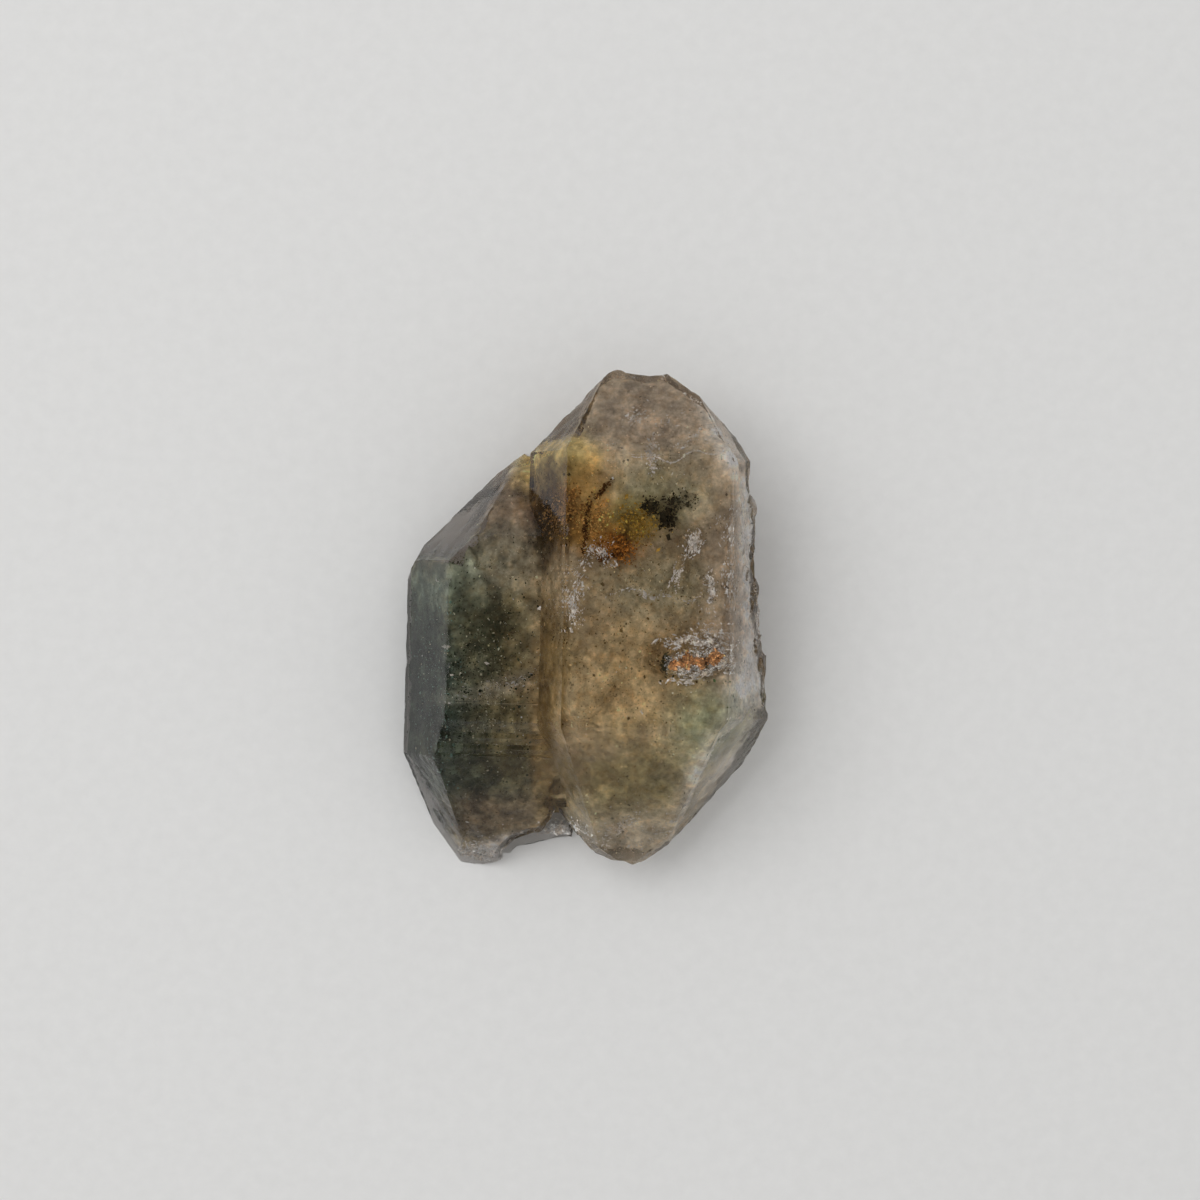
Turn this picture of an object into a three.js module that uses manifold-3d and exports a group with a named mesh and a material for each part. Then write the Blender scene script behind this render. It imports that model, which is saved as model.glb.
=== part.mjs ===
// A garden quartz: two quartz crystals grown side by side along one c axis, joined for their whole
// length and pointed at both ends. The specimen lies on the back prism faces of both crystals.
// Millimetres. +Z is up, +Y runs along the c axis towards the long crystal's broken top, +X to the right.
import * as THREE from 'three';
import { mergeVertices } from 'three/addons/utils/BufferGeometryUtils.js';
import Module from 'manifold-3d';

const wasm = await Module();
wasm.setup();

// Driving dimensions
const RHOMB_LEAN = 38.2; // degrees between the c axis and a rhombohedral face of quartz
const STOCK = 80; // edge of the block that each crystal is cut from, well over the specimen's size

// A crystal's six prism faces stand 60 degrees apart, counted from the one that faces up.
const SIDES = ['front', 'frontLeft', 'backLeft', 'back', 'backRight', 'frontRight'];

// Each crystal: where its c axis stands, how far each prism face is from that axis, and at which Y
// the rhombohedral face at either end leaves it. A face that leans otherwise says so in degrees.
// A list instead of one Y gives growth layers, outermost first: each layer's reach, and its own Y.
const LONG_CRYSTAL = {
  x: 4.3,
  z: 7.7,
  front: { reach: 4.7, top: 11.9, foot: -7.3 },
  frontLeft: { reach: 7.4, top: 12.2, foot: -7.3, footLean: 33.7 },
  backLeft: { reach: 7.44, top: 12.2, foot: -14.1 },
  back: { reach: 7.7, top: 9.3, foot: -12.4 },
  backRight: {
    reach: 8.29,
    top: [
      [8.29, -5.2],
      [7.85, -1.9],
      [7.3, 0.6],
      [6.6, 3.0],
      [6.1, 8.6],
      [4.9, 13.37],
    ],
    foot: -9.8,
  },
  frontRight: { reach: 7.42, top: 11.8, foot: -6.6, topLean: 39.6, footLean: 36 },
};
const SHORT_CRYSTAL = {
  x: -6.1,
  z: 3.5,
  front: {
    reach: 6.0,
    top: 6.15,
    foot: [
      [6.0, -5.8],
      [5.88, -7.2],
      [5.25, -8.4],
      [4.9, -9.2],
      [4.6, -9.75],
    ],
  },
  frontLeft: { reach: 6.2, top: 4.3, foot: -9.9, topLean: 40, footLean: 33 },
  backLeft: { reach: 6.15, top: 4.3, foot: -17.5, topLean: 40 },
  back: { reach: 3.5, top: 6.4, foot: -18.3 },
  backRight: { reach: 6.2, top: 8.0, foot: -18.0 },
  frontRight: { reach: 6.2, top: 9.0, foot: -18.0 },
};

// Broken outlines, seen from above. Each list runs along the break, and its last points close it
// outside the crystal.
const LONG_TOP_BREAK = [
  [0.0, 17.2], [0.89, 18.13], [1.17, 18.36], [1.89, 18.45], [2.47, 18.17], [3.34, 18.08], [4.21, 17.96],
  [4.93, 18.06], [5.3, 18.14], [5.86, 18.18], [6.38, 17.84], [7.1, 17.5], [7.55, 17.0], [8.2, 16.3],
  [11, 20], [-1, 20],
];
const LONG_FOOT_BREAK = [
  [7.9, -14.5], [7.03, -15.47], [6.35, -16.22], [5.87, -16.72], [5.3, -17.28], [4.91, -17.55], [4.42, -17.74],
  [3.68, -17.7], [3.31, -17.52], [2.57, -17.47], [1.34, -17.32], [1.09, -17.09], [0.59, -16.6],
  [-0.2, -15.7], [-0.6, -21], [9, -21],
];
const SHORT_FOOT_BREAK = [
  [-11.2, -15.4], [-10.08, -16.85], [-9.74, -17.75], [-9.42, -18.12], [-8.54, -18.39], [-7.31, -18.42],
  [-6.41, -18.23], [-5.54, -17.77], [-4.81, -17.0], [-3.59, -16.77], [-2.57, -16.45], [-1.57, -16.23],
  [-0.6, -16.15], [-0.36, -16.51], [0.08, -16.89], [0.33, -16.98], [0.9, -17.2], [1.9, -16.8],
  [1.9, -21], [-13, -21],
];

// A ledge at the short crystal's foot: the upper sheet broke off along this ragged line, which runs
// up into a narrow cleft beside the long crystal.
const LEDGE_HEIGHT = 1.9; // at the upper end of the ledge
const LEDGE_SLOPE = 20; // degrees down towards the foot
const LEDGE_LINE = [
  [-5.85, -16.9], [-5.72, -16.6], [-4.86, -15.55], [-3.98, -15.1], [-2.88, -14.85], [-2.46, -14.0],
  [-2.24, -13.8], [-1.85, -12.5], [2.2, -12.3], [2.2, -20], [-5.9, -20],
];

// Breaks with flat walls. Each wall is a point on it and the way it faces; the stone is gone where a
// point is in front of every wall of the break.
const SHORT_BREAKS = [
  // the bright chip at the foot, a valley with two walls
  [
    { at: [-7.96, -15.12, 3.88], faces: [-0.179, -0.738, 0.651] },
    { at: [-7.96, -15.12, 3.88], faces: [0.75, -0.63, 0.203] },
  ],
  // the worn corner at the top of the left edge
  [{ at: [-12.96, 3.76, 3.5], faces: [-0.89, 0.45, 0.05] }],
];
const LONG_BREAKS = [
  // the dark chip at the top right
  [
    { at: [7.15, 17.4, 8.1], faces: [0.62, 0.74, 0.26] },
    { at: [5.9, 17.9, 7.6], faces: [0.86, -0.1, 0.5] },
  ],
  // the worn corner over the right flank
  [{ at: [10.14, 14.18, 7.0], faces: [0.883, 0.469, 0] }],
  // the foot, left and right
  [{ at: [1.6, -16.9, 4.4], faces: [-0.42, -0.83, 0.36] }],
  [{ at: [5.6, -16.6, 4.7], faces: [0.38, -0.8, 0.46] }],
];

// The open hollow in the long crystal's front face, cut by a string of angular grains
const HOLLOW = { from: [5.9, -2.75], to: [9.7, -2.15], count: 10, grain: 0.6, depth: 0.6, wander: 0.32 };

// Shell-shaped nicks in the right flank's edge, and shell-shaped scars where the underside was attached
const FLANK_NICKS = { count: 26, low: -6.0, high: 11.0, radius: 0.8, depth: 0.2 };
const SCARS = { x: -2.4, y: -3.0, spreadX: 3.4, spreadY: 9.0, count: 9, radius: 3.4, depth: 0.32 };

// A repeatable stream of numbers from 0 to 1
function numbers(seed) {
  let state = seed;
  return () => {
    state = (state + 0x6d2b79f5) | 0;
    let t = Math.imul(state ^ (state >>> 15), 1 | state);
    t = (t + Math.imul(t ^ (t >>> 7), 61 | t)) ^ t;
    return ((t ^ (t >>> 14)) >>> 0) / 4294967296;
  };
}

// A closed three.js geometry as a solid
function solidOf(geometry) {
  geometry.deleteAttribute('normal');
  geometry.deleteAttribute('uv');
  const merged = mergeVertices(geometry, 1e-4);
  return new wasm.Manifold(
    new wasm.Mesh({
      numProp: 3,
      vertProperties: merged.attributes.position.array,
      triVerts: new Uint32Array(merged.index.array),
    }),
  );
}

// Everything in front of a flat wall: a block whose lower face is that wall
function beyond(normal, point) {
  const block = new THREE.BoxGeometry(STOCK, STOCK, STOCK).translate(0, 0, STOCK / 2);
  const turn = new THREE.Quaternion().setFromUnitVectors(new THREE.Vector3(0, 0, 1), normal);
  block.applyQuaternion(turn).translate(point.x, point.y, point.z);
  return solidOf(block);
}

// What lies in front of every wall of a break
function brokenOff(walls) {
  return walls
    .map(({ at, faces }) => beyond(new THREE.Vector3(...faces).normalize(), new THREE.Vector3(...at)))
    .reduce((gone, half) => gone.intersect(half));
}

// One end of one prism face. The stone beyond each growth layer's rhombohedral face goes, down to the
// next layer's reach.
function capped(solid, form, outward, layers, way, lean) {
  const onFace = (reach, y) => new THREE.Vector3(form.x, y, form.z).addScaledVector(outward, reach);
  const angle = THREE.MathUtils.degToRad(lean);
  const rhomb = outward.clone().multiplyScalar(Math.cos(angle)).setY(way * Math.sin(angle));
  layers.forEach(([reach, y], i) => {
    const end = beyond(rhomb, onFace(reach, y));
    const inner = layers[i + 1];
    solid = solid.subtract(inner ? end.intersect(beyond(outward, onFace(inner[0], 0))) : end);
  });
  return solid;
}

// One crystal, cut from a block by its six prism faces and the rhombohedral faces at both ends
function crystal(form) {
  let solid = solidOf(new THREE.BoxGeometry(STOCK, STOCK, STOCK));
  SIDES.forEach((side, i) => {
    const { reach, top, foot, topLean = RHOMB_LEAN, footLean = RHOMB_LEAN } = form[side];
    const around = THREE.MathUtils.degToRad(60 * i);
    const outward = new THREE.Vector3(-Math.sin(around), 0, Math.cos(around));
    const onFace = new THREE.Vector3(form.x, 0, form.z).addScaledVector(outward, reach);
    const layersOf = (end) => (Array.isArray(end) ? end : [[reach, end]]);
    solid = solid.subtract(beyond(outward, onFace));
    solid = capped(solid, form, outward, layersOf(top), 1, topLean);
    solid = capped(solid, form, outward, layersOf(foot), -1, footLean);
  });
  return solid;
}

// A block with the given outline, seen from above, that stands on a floor which may slope along Y
function standingOn(outline, height, slope = 0) {
  const shape = new THREE.Shape(outline.map(([x, y]) => new THREE.Vector2(x, y)));
  const block = new THREE.ExtrudeGeometry(shape, { depth: STOCK / 2, bevelEnabled: false });
  const hinge = Math.max(...outline.map(([, y]) => y));
  block.translate(0, -hinge, 0).rotateX(THREE.MathUtils.degToRad(slope)).translate(0, hinge, height);
  return solidOf(block);
}

// A faceted shell, longer along Y, for a break that curves
function shell(at, radius, next) {
  const shape = new THREE.IcosahedronGeometry(radius, 1);
  shape.rotateX(3 * next()).rotateY(3 * next());
  shape.scale(1, 1.1 + 0.6 * next(), 1);
  shape.translate(...at);
  return solidOf(shape);
}

// An angular grain, to cut a hollow with
function grain(at, size, next) {
  const shape = new THREE.BoxGeometry(size * (1.2 + 0.9 * next()), size * (0.9 + 0.7 * next()), size * 1.4);
  shape.rotateX(3 * next()).rotateY(3 * next()).rotateZ(3 * next());
  shape.translate(...at);
  return solidOf(shape);
}

// The open hollow: a string of grains sunk into the front face
function cutHollow(solid, next) {
  const { from, to, count, grain: size, depth, wander } = HOLLOW;
  const surface = LONG_CRYSTAL.z + LONG_CRYSTAL.front.reach;
  for (let i = 0; i < count; i += 1) {
    const along = (i + 0.5) / count;
    const radius = size * (0.7 + 0.6 * next());
    const x = THREE.MathUtils.lerp(from[0], to[0], along) + wander * (2 * next() - 1);
    const y = THREE.MathUtils.lerp(from[1], to[1], along) + wander * (2 * next() - 1);
    solid = solid.subtract(grain([x, y, surface + radius * 0.8 - depth], radius, next));
  }
  return solid;
}

// Nicks along the edge between the two prism faces of the right flank
function nickFlank(solid, next) {
  const { count, low, high, radius: size, depth } = FLANK_NICKS;
  const { x, z, frontRight, backRight } = LONG_CRYSTAL;
  for (let i = 0; i < count; i += 1) {
    const y = THREE.MathUtils.lerp(low, high, (i + next()) / count);
    const layer = backRight.top.find(([, end]) => y < end);
    const edgeX = x + (layer[0] + frontRight.reach) / Math.sqrt(3);
    const edgeZ = z + frontRight.reach - layer[0];
    const up = 3.4 * (next() - 0.42);
    const radius = size * (0.6 + 0.9 * next());
    const away = 1.1 * radius - depth * (0.5 + next());
    const at = [edgeX - Math.abs(up) / Math.sqrt(3) + away, y, edgeZ + up];
    solid = solid.subtract(shell(at, radius, next));
  }
  return solid;
}

// Shallow scars on the underside, where the specimen broke from its matrix
function scarUnderside(solid, next) {
  for (let i = 0; i < SCARS.count; i += 1) {
    const x = SCARS.x + SCARS.spreadX * (2 * next() - 1);
    const y = SCARS.y + SCARS.spreadY * (2 * next() - 1);
    const radius = SCARS.radius * (0.6 + 0.8 * next());
    const depth = SCARS.depth * (0.6 + 0.8 * next());
    solid = solid.subtract(shell([x, y, depth - radius], radius, next));
  }
  return solid;
}

function specimen() {
  const next = numbers(11);
  let long = crystal(LONG_CRYSTAL);
  long = long.subtract(standingOn(LONG_TOP_BREAK, -1)).subtract(standingOn(LONG_FOOT_BREAK, -1));
  for (const walls of LONG_BREAKS) long = long.subtract(brokenOff(walls));
  long = cutHollow(nickFlank(long, next), next);

  let short = crystal(SHORT_CRYSTAL);
  short = short.subtract(standingOn(LEDGE_LINE, LEDGE_HEIGHT, LEDGE_SLOPE));
  short = short.subtract(standingOn(SHORT_FOOT_BREAK, -1));
  for (const walls of SHORT_BREAKS) short = short.subtract(brokenOff(walls));

  return scarUnderside(long.add(short), next);
}

// The solid as a geometry whose origin is the middle of the box's lower face
function centred(solid) {
  const { vertProperties, triVerts } = solid.getMesh();
  const geometry = new THREE.BufferGeometry();
  geometry.setAttribute('position', new THREE.BufferAttribute(vertProperties, 3));
  geometry.setIndex(new THREE.BufferAttribute(triVerts, 1));
  geometry.computeBoundingBox();
  const { min, max } = geometry.boundingBox;
  return geometry.translate(-(min.x + max.x) / 2, -(min.y + max.y) / 2, -min.z);
}

const quartz = new THREE.Mesh(
  centred(specimen()),
  new THREE.MeshStandardMaterial({ color: 0x94887a, roughness: 0.15, metalness: 0 }),
);
quartz.name = 'garden_quartz';

const group = new THREE.Group();
group.add(quartz);

export default group;
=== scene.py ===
import math

import bmesh
import bpy
import numpy as np
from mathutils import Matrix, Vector
from mathutils.bvhtree import BVHTree


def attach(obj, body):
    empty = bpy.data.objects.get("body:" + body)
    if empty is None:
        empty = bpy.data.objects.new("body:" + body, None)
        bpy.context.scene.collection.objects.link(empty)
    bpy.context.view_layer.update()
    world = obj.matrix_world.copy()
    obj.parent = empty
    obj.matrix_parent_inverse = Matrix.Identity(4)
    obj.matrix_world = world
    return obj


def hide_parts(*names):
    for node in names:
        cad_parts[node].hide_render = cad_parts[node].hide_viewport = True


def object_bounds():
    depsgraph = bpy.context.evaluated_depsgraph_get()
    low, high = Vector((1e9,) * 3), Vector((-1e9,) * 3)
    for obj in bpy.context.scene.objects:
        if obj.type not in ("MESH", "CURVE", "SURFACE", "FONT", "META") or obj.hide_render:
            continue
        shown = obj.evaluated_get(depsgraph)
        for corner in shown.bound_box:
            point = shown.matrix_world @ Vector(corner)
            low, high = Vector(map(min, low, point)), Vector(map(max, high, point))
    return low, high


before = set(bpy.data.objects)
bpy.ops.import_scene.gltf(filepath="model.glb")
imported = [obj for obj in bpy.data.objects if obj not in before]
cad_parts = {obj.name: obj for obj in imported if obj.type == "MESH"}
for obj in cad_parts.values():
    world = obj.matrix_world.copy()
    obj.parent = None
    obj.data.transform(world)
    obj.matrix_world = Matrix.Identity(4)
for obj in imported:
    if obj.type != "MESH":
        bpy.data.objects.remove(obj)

# A garden quartz: clear crystals grown side by side, with a mossy and earthy garden of minerals sealed
# inside. Lengths are in millimetres here and become metres when a mesh or a place is made.
MM = 0.001
CAD_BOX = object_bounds()
NODE = "garden_quartz"

# The camera looks straight down. Photo pixels are in a frame of 1200 x 1200.
CAMERA_AT = (0.93, 1.685, 170.0)
CAMERA_TURN = math.radians(1.4)
FIELD_OF_VIEW = math.radians(29.8)
PHOTO_MIDDLE = 600.0
FOCAL_PIXELS = PHOTO_MIDDLE / math.tan(FIELD_OF_VIEW / 2)

# Clear quartz
QUARTZ_IOR = 1.544
SMOKE_COLOUR = (0.74, 0.52, 0.42, 1.0)
SMOKE_DENSITY = 34.0
QUARTZ_TINT = (0.97, 0.955, 0.94, 1.0)


def linear(colour):
    """A display colour, 0 to 255, as linear light."""
    c = np.asarray(colour, float) / 255
    return np.where(c <= 0.04045, c / 12.92, ((c + 0.055) / 1.055) ** 2.4)


def spot(u, v, z):
    """The point at height z that the camera sees at photo pixel u, v."""
    scale = (CAMERA_AT[2] - z) / FOCAL_PIXELS
    across, up = (u - PHOTO_MIDDLE) * scale, (PHOTO_MIDDLE - v) * scale
    c, s = math.cos(CAMERA_TURN), math.sin(CAMERA_TURN)
    return np.array([across * c - up * s + CAMERA_AT[0], across * s + up * c + CAMERA_AT[1], z])


def pixel(p):
    """The photo pixel where the camera sees each point."""
    x, y = p[:, 0] - CAMERA_AT[0], p[:, 1] - CAMERA_AT[1]
    c, s = math.cos(CAMERA_TURN), math.sin(CAMERA_TURN)
    scale = FOCAL_PIXELS / (CAMERA_AT[2] - p[:, 2])
    return PHOTO_MIDDLE + (x * c + y * s) * scale, PHOTO_MIDDLE - (y * c - x * s) * scale


# Noise


def lattice(ix, iy, iz, seed):
    """A repeatable random number from 0 to 1 for each cell corner."""
    n = (ix * 374761393 + iy * 668265263 + iz * 1103515245 + seed * 974634777) & 0xFFFFFFFF
    n = ((n ^ (n >> 13)) * 1274126177) & 0xFFFFFFFF
    return ((n ^ (n >> 16)) & 0xFFFF) / 65535.0


def from_corners(cell, f, value_at):
    """Values at points that are the share f of the way through grid cells, from the cells' corners."""
    total = 0.0
    for dx in (0, 1):
        wx = f[:, 0] if dx else 1 - f[:, 0]
        for dy in (0, 1):
            wy = f[:, 1] if dy else 1 - f[:, 1]
            for dz in (0, 1):
                wz = f[:, 2] if dz else 1 - f[:, 2]
                corner = value_at(cell[:, 0] + dx, cell[:, 1] + dy, cell[:, 2] + dz)
                total = total + wx * wy * wz * corner
    return total


def noise(p, size, seed):
    """Smooth noise from 0 to 1 with features of the given size."""
    q = p / np.asarray(size, float)
    cell = np.floor(q).astype(np.int64)
    f = q - cell
    return from_corners(cell, f * f * (3 - 2 * f), lambda i, j, k: lattice(i, j, k, seed))


def cloud(p, size, octaves, seed):
    """Several sizes of noise together, from 0 to 1."""
    total, weight = 0.0, 0.0
    for k in range(octaves):
        total = total + noise(p, np.asarray(size, float) / 2**k, seed + 17 * k) * 0.55**k
        weight += 0.55**k
    return total / weight


def smooth(low, high, value):
    """0 up to low and 1 from high on, with a soft step between. Low may be above high."""
    t = np.clip((value - low) / (high - low), 0, 1)
    return t * t * (3 - 2 * t)


def between(a, b, share):
    """The given share of the way from a to b."""
    return a + (b - a) * share


class Depth:
    """How far places on a grid are below the CAD solid's surface."""

    STEP = 0.5
    MARGIN_LOW = (1.013, 1.017, 1.011)
    MARGIN_HIGH = 1.2
    OUTSIDE = -1.0

    def __init__(self, node):
        mesh = node.data
        points = [v.co / MM for v in mesh.vertices]
        self.tree = BVHTree.FromPolygons(points, [tuple(f.vertices) for f in mesh.polygons])
        lo = np.min(points, axis=0) - self.MARGIN_LOW
        hi = np.max(points, axis=0) + self.MARGIN_HIGH
        self.origin = lo
        counts = np.ceil((hi - lo) / self.STEP).astype(int) + 1
        self.grid = np.full(counts, self.OUTSIDE)
        heights = lo[2] + self.STEP * np.arange(counts[2])
        for i in range(counts[0]):
            for j in range(counts[1]):
                x, y = lo[0] + self.STEP * i, lo[1] + self.STEP * j
                walls = self.column(x, y, lo[2], hi[2])
                if not walls:
                    continue
                for k, z in enumerate(heights):
                    gap = self.tree.find_nearest((x, y, z))[3]
                    inside = np.searchsorted(walls, z) % 2
                    self.grid[i, j, k] = gap if inside else -gap

    def column(self, x, y, low, high):
        """The heights at which a plumb line passes through the surface."""
        walls, z = [], low
        while True:
            hit = self.tree.ray_cast((x, y, z), (0, 0, 1), high - z)[0]
            if hit is None:
                return walls
            walls.append(hit.z)
            z = hit.z + 1e-4

    def at(self, p):
        """How far each point is below the surface."""
        q = (p - self.origin) / self.STEP
        cell = np.clip(np.floor(q).astype(int), 0, np.array(self.grid.shape) - 2)
        return from_corners(cell, np.clip(q - cell, 0, 1), lambda i, j, k: self.grid[i, j, k])


# Meshes


def placed(name, data):
    """A new object in the scene."""
    obj = bpy.data.objects.new(name, data)
    bpy.context.scene.collection.objects.link(obj)
    return obj


def mesh_object(name, points, faces, smooth_faces=True):
    """A mesh from millimetre points and faces of one size."""
    mesh = bpy.data.meshes.new(name)
    size = faces.shape[1]
    mesh.vertices.add(len(points))
    mesh.vertices.foreach_set("co", (points * MM).astype(np.float32).ravel())
    mesh.loops.add(faces.size)
    mesh.loops.foreach_set("vertex_index", faces.astype(np.int32).ravel())
    mesh.polygons.add(len(faces))
    mesh.polygons.foreach_set("loop_start", np.arange(0, faces.size, size, dtype=np.int32))
    mesh.polygons.foreach_set("use_smooth", np.full(len(faces), smooth_faces))
    mesh.update(calc_edges=True)
    mesh.validate()
    return placed(name, mesh)


def paint(obj, name, colours):
    """Gives each point of the mesh its colour."""
    layer = obj.data.attributes.new(name, "FLOAT_COLOR", "POINT")
    rgba = np.ones((len(obj.data.vertices), 4), np.float32)
    rgba[:, :3] = colours
    layer.data.foreach_set("color", rgba.ravel())


def surface_nets(field, origin, step):
    """The surface where a field of numbers on a grid passes zero, as points and four-sided faces."""
    inside = field > 0
    corners = [(a, b, c) for a in (0, 1) for b in (0, 1) for c in (0, 1)]
    n = np.array(field.shape) - 1

    def part(a, b, c, source):
        return source[a : a + n[0], b : b + n[1], c : c + n[2]]

    count = sum(part(*c, inside).astype(np.int8) for c in corners)
    cells = np.argwhere((count > 0) & (count < 8))
    index = np.full(n, -1, np.int64)
    index[tuple(cells.T)] = np.arange(len(cells))
    values = {c: field[tuple((cells + c).T)] for c in corners}
    total, hits = np.zeros((len(cells), 3)), np.zeros(len(cells))
    for a in corners:
        for axis in range(3):
            if a[axis]:
                continue
            b = tuple(v + (i == axis) for i, v in enumerate(a))
            fa, fb = values[a], values[b]
            crossing = (fa > 0) != (fb > 0)
            t = np.where(crossing, fa / np.where(crossing, fa - fb, 1), 0)
            place = np.array(a, float)[None] + t[:, None] * (np.arange(3) == axis)[None]
            total += place * crossing[:, None]
            hits += crossing
    points = origin + step * (cells + total / hits[:, None])
    faces = []
    for axis in range(3):
        u, v = (axis + 1) % 3, (axis + 2) % 3
        low = np.take(inside, range(field.shape[axis] - 1), axis)
        high = np.take(inside, range(1, field.shape[axis]), axis)
        for out, way in ((low & ~high, 1), (high & ~low, -1)):
            edge = np.argwhere(out)
            edge = edge[(edge[:, u] > 0) & (edge[:, v] > 0)]
            ring = []
            for du, dv in ((1, 1), (0, 1), (0, 0), (1, 0)):
                c = edge.copy()
                c[:, u] -= du
                c[:, v] -= dv
                ring.append(index[tuple(c.T)])
            faces.append(np.stack(ring[::way], 1))
    faces = np.concatenate(faces)
    return points, faces[(faces >= 0).all(1)]


# Materials


def new_material(name):
    """A material, its nodes and links, and its shader."""
    material = bpy.data.materials.new(name)
    material.use_nodes = True
    nodes, links = material.node_tree.nodes, material.node_tree.links
    return material, nodes, links, nodes["Principled BSDF"]


def node(nodes, kind, **values):
    """A node with its sockets and settings set."""
    made = nodes.new(kind)
    for key, value in values.items():
        if key in made.inputs:
            made.inputs[key].default_value = value
        else:
            setattr(made, key, value)
    return made


def noise_node(nodes, links, place, scale, detail=3.0, roughness=0.6):
    """Noise with the given scale per metre."""
    made = node(nodes, "ShaderNodeTexNoise", Scale=scale, Detail=detail, Roughness=roughness)
    links.new(place, made.inputs["Vector"])
    return made.outputs["Fac"]


def ranged(nodes, links, value, given, wanted):
    """A value moved from the given range to the wanted one."""
    made = node(nodes, "ShaderNodeMapRange")
    links.new(value, made.inputs["Value"])
    for name, number in zip(("From Min", "From Max", "To Min", "To Max"), given + wanted):
        made.inputs[name].default_value = number
    return made.outputs["Result"]


def math_node(nodes, links, operation, a, b, c=None):
    """Arithmetic on sockets or numbers."""
    made = node(nodes, "ShaderNodeMath", operation=operation)
    for socket, value in zip(made.inputs, (a, b, c)):
        if isinstance(value, (int, float)):
            socket.default_value = value
        elif value is not None:
            links.new(value, socket)
    return made.outputs[0]


def blended(nodes, links, share, a, b, mode="MIX"):
    """Colour b over colour a, by a share from 0 to 1."""
    made = node(nodes, "ShaderNodeMix", data_type="RGBA", blend_type=mode)
    for socket, value in ((made.inputs[0], share), (made.inputs[6], a), (made.inputs[7], b)):
        if isinstance(value, (int, float, tuple)):
            socket.default_value = value
        else:
            links.new(value, socket)
    return made.outputs[2]


# The quartz's relief and roughness
RELIEF_DEPTH = 0.00003
LEVEL_FACES = (0.7, 0.95)
LINES_ON_SIDES_AND_FRONT = (2.2, 0.8)
FINE_LINE_SHARE = 0.35
WAVE_SHARE = 2.0
GRIT_SHARE = 1.4
SMEAR_ROUGHNESS = (0.0, 0.05)
BROKEN_ROUGHNESS = 0.16
SPECULAR_TINT = (0.35, 0.35, 0.35, 1.0)


def growth_lines(nodes, links, place):
    """Fine and wide lines across the crystals, on slow waves, stronger on the steep faces."""
    drawn_out = node(nodes, "ShaderNodeMapping")
    drawn_out.inputs["Scale"].default_value = (0.05, 1.0, 0.05)
    links.new(place, drawn_out.inputs["Vector"])
    fine_lines = noise_node(nodes, links, drawn_out.outputs[0], scale=5200, detail=2.0)
    wide_lines = noise_node(nodes, links, drawn_out.outputs[0], scale=1100, detail=2.0)
    waves = noise_node(nodes, links, place, scale=320, detail=2.0)
    lines = math_node(nodes, links, "MULTIPLY_ADD", fine_lines, FINE_LINE_SHARE, wide_lines)
    relief = math_node(nodes, links, "MULTIPLY_ADD", waves, WAVE_SHARE, lines)
    facing = node(nodes, "ShaderNodeSeparateXYZ")
    links.new(node(nodes, "ShaderNodeNewGeometry").outputs["True Normal"], facing.inputs[0])
    level = math_node(nodes, links, "ABSOLUTE", facing.outputs["Z"], 0.0)
    strength = ranged(nodes, links, level, LEVEL_FACES, LINES_ON_SIDES_AND_FRONT)
    return math_node(nodes, links, "MULTIPLY", relief, strength)


def quartz_material():
    """Clear quartz: glossy faces with growth lines across them, matt where broken."""
    material, nodes, links, shader = new_material("clear_quartz")
    shader.inputs["Base Color"].default_value = QUARTZ_TINT
    shader.inputs["IOR"].default_value = QUARTZ_IOR
    shader.inputs["Transmission Weight"].default_value = 1.0
    shader.inputs["Specular Tint"].default_value = SPECULAR_TINT
    place = node(nodes, "ShaderNodeTexCoord").outputs["Object"]
    broken = node(nodes, "ShaderNodeAttribute", attribute_name="broken").outputs["Fac"]

    grit = noise_node(nodes, links, place, scale=4200, detail=3.0, roughness=0.7)
    broken_grit = math_node(nodes, links, "MULTIPLY", grit, broken)
    lines = growth_lines(nodes, links, place)
    height = math_node(nodes, links, "MULTIPLY_ADD", broken_grit, GRIT_SHARE, lines)
    bump = node(nodes, "ShaderNodeBump", Strength=0.5, Distance=RELIEF_DEPTH)
    links.new(height, bump.inputs["Height"])
    links.new(bump.outputs[0], shader.inputs["Normal"])

    smears = noise_node(nodes, links, place, scale=700, detail=4.0, roughness=0.7)
    smeared = ranged(nodes, links, smears, (0.35, 0.75), SMEAR_ROUGHNESS)
    rough = math_node(nodes, links, "MULTIPLY_ADD", broken, BROKEN_ROUGHNESS, smeared)
    links.new(rough, shader.inputs["Roughness"])

    absorption = node(nodes, "ShaderNodeVolumeAbsorption", Color=SMOKE_COLOUR, Density=SMOKE_DENSITY)
    links.new(absorption.outputs[0], nodes["Material Output"].inputs["Volume"])
    return material


# Colours in the minerals, as linear light
BROWNING = (1.25, 0.95, 0.62, 1)
SPECK_BLACK = (0.012, 0.013, 0.008, 1)
FLECK_TAN = (0.33, 0.29, 0.22, 1)
MIDDLE_OF_NOISE = (0.3, 0.7)


def mottled(nodes, links, place, zone, patches, grains_noise):
    """The zone colour, darker and paler in patches and grains, and browner here and there."""
    shade = math_node(
        nodes, links, "ADD",
        ranged(nodes, links, patches, MIDDLE_OF_NOISE, (0.32, 0.76)),
        ranged(nodes, links, grains_noise, MIDDLE_OF_NOISE, (0.2, 0.72)),
    )
    shaded = blended(nodes, links, 1.0, zone, shade, "MULTIPLY")
    browned = blended(nodes, links, 1.0, shaded, BROWNING, "MULTIPLY")
    hues = noise_node(nodes, links, place, scale=1500, detail=3.0, roughness=0.6)
    warm = ranged(nodes, links, hues, (0.45, 0.72), (0.0, 0.35))
    return blended(nodes, links, warm, shaded, browned)


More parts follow.
